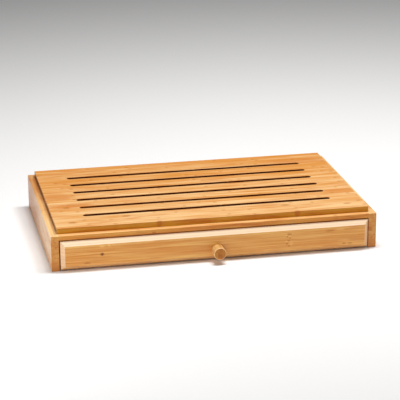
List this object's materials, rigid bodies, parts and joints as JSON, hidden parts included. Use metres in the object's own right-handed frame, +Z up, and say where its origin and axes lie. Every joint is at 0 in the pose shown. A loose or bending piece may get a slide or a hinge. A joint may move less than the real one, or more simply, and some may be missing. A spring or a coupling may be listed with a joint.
{
  "type": "bread board",
  "caption": "Slotted wooden bread board lying on a shallow case, whose drawer with a round knob catches the crumbs.",
  "frame": {"origin": "middle of the case's underside", "axes": "+Z up, -Y to the front, the way the drawer opens, +X to the right as seen from the front"},
  "size_m": [0.42, 0.2815, 0.0534],
  "materials": {
    "case_side_right": "sanded and clear oiled, satin",
    "case_side_left": "sanded and clear oiled, satin",
    "case_back": "sanded and clear oiled, satin",
    "case_front_rail": "sanded and clear oiled, satin",
    "case_bottom": "sanded and clear oiled, satin",
    "board_cleat_rear": "sanded and clear oiled, satin",
    "case_back_dowels": "plain unfinished dowel",
    "front_rail_dowels": "plain unfinished dowel",
    "case_bottom_nails": "bright zinc",
    "cleat_screws": "bright zinc",
    "bread_board": "sanded and clear oiled, satin",
    "board_batten_right": "sanded and clear oiled, satin",
    "board_batten_left": "sanded and clear oiled, satin",
    "batten_screws": "bright zinc",
    "drawer_front": "sanded and clear oiled, satin",
    "drawer_side_right": "sanded and clear oiled, satin",
    "drawer_side_left": "sanded and clear oiled, satin",
    "drawer_back": "sanded and clear oiled, satin",
    "drawer_bottom": "sanded and clear oiled, satin",
    "drawer_front_dowels": "plain unfinished dowel",
    "drawer_back_dowels": "plain unfinished dowel",
    "drawer_knob": "sanded and clear oiled, satin",
    "knob_screw": "bright zinc"
  },
  "bodies": {
    "case": {"case_side_right": "case_side_right", "case_side_left": "case_side_left", "case_back": "case_back", "case_front_rail": "case_front_rail", "case_bottom": "case_bottom", "board_cleat_rear": "board_cleat_rear", "case_back_dowels": "case_back_dowels", "front_rail_dowels": "front_rail_dowels", "case_bottom_nails": "case_bottom_nails", "cleat_screws": "cleat_screws"},
    "board": {"bread_board": "bread_board", "board_batten_right": "board_batten_right", "board_batten_left": "board_batten_left", "batten_screws": "batten_screws"},
    "drawer": {"drawer_front": "drawer_front", "drawer_side_right": "drawer_side_right", "drawer_side_left": "drawer_side_left", "drawer_back": "drawer_back", "drawer_bottom": "drawer_bottom", "drawer_front_dowels": "drawer_front_dowels", "drawer_back_dowels": "drawer_back_dowels", "drawer_knob": "drawer_knob", "knob_screw": "knob_screw"}
  },
  "joints": [
    {"name": "drawer_slide", "type": "slide", "parent": "case", "child": "drawer", "axis": [0, -1, 0], "range_m": [0, 0.25]},
    {"name": "board_lift", "type": "slide", "parent": "case", "child": "board", "axis": [0, 0, 1], "range_m": [0, 0.08]}
  ]
}
